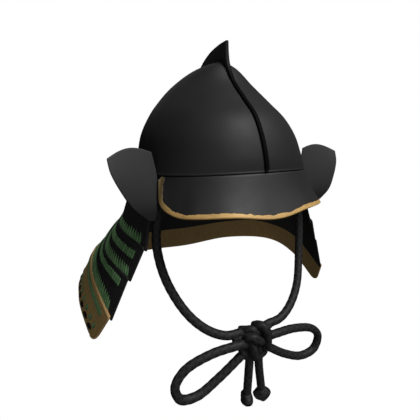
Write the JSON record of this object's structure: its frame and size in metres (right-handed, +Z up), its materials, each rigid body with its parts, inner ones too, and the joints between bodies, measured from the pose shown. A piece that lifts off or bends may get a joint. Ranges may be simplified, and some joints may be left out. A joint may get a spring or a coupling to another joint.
{
  "type": "samurai helmet",
  "caption": "Samurai helmet: a peach-shaped bowl with a crown fin and gilt-edged visor, side wings, a flared laced neck guard and a chin cord tied in a bow.",
  "frame": {"origin": "the seat on the head, on the middle plane under the point of the bowl and level with the brow edge", "axes": "+Z up, the brow faces -Y, the wearer's left is +X"},
  "size_m": [0.4164, 0.2848, 0.4858],
  "materials": {
    "black_lacquer": "satin black lacquer over iron",
    "black_iron": "dark lacquered iron",
    "gilt": "brushed gold lacquer edge",
    "lame_black": "black lacquered lames with fine vertical ribs",
    "lame_gold": "old gold lacquer, ribbed",
    "green_lace": "flat braided silk lacing",
    "cord": "round braided cord"
  },
  "bodies": {
    "root": {"bowl": "black_lacquer", "base_band": "black_iron", "ridge_fin": "black_iron", "visor": "black_lacquer", "visor_edge": "gilt", "wing_right": "black_lacquer", "wing_left": "black_lacquer", "lame_1": "lame_black", "lame_2": "lame_black", "lame_3": "lame_black", "lame_4": "lame_gold", "lace_1": "green_lace", "lace_2_upper": "green_lace", "lace_2_lower": "green_lace", "lace_3_upper": "green_lace", "lace_3_lower": "green_lace", "lace_4": "green_lace", "cord_anchor_right": "black_iron", "cord_anchor_left": "black_iron", "chin_cord_right": "cord", "chin_cord_left": "cord", "bow_knot": "cord", "bow_loop_right": "cord", "bow_loop_left": "cord", "bow_tail_right": "cord", "bow_tail_left": "cord", "tail_knot_right": "cord", "tail_knot_left": "cord"}
  },
  "joints": []
}
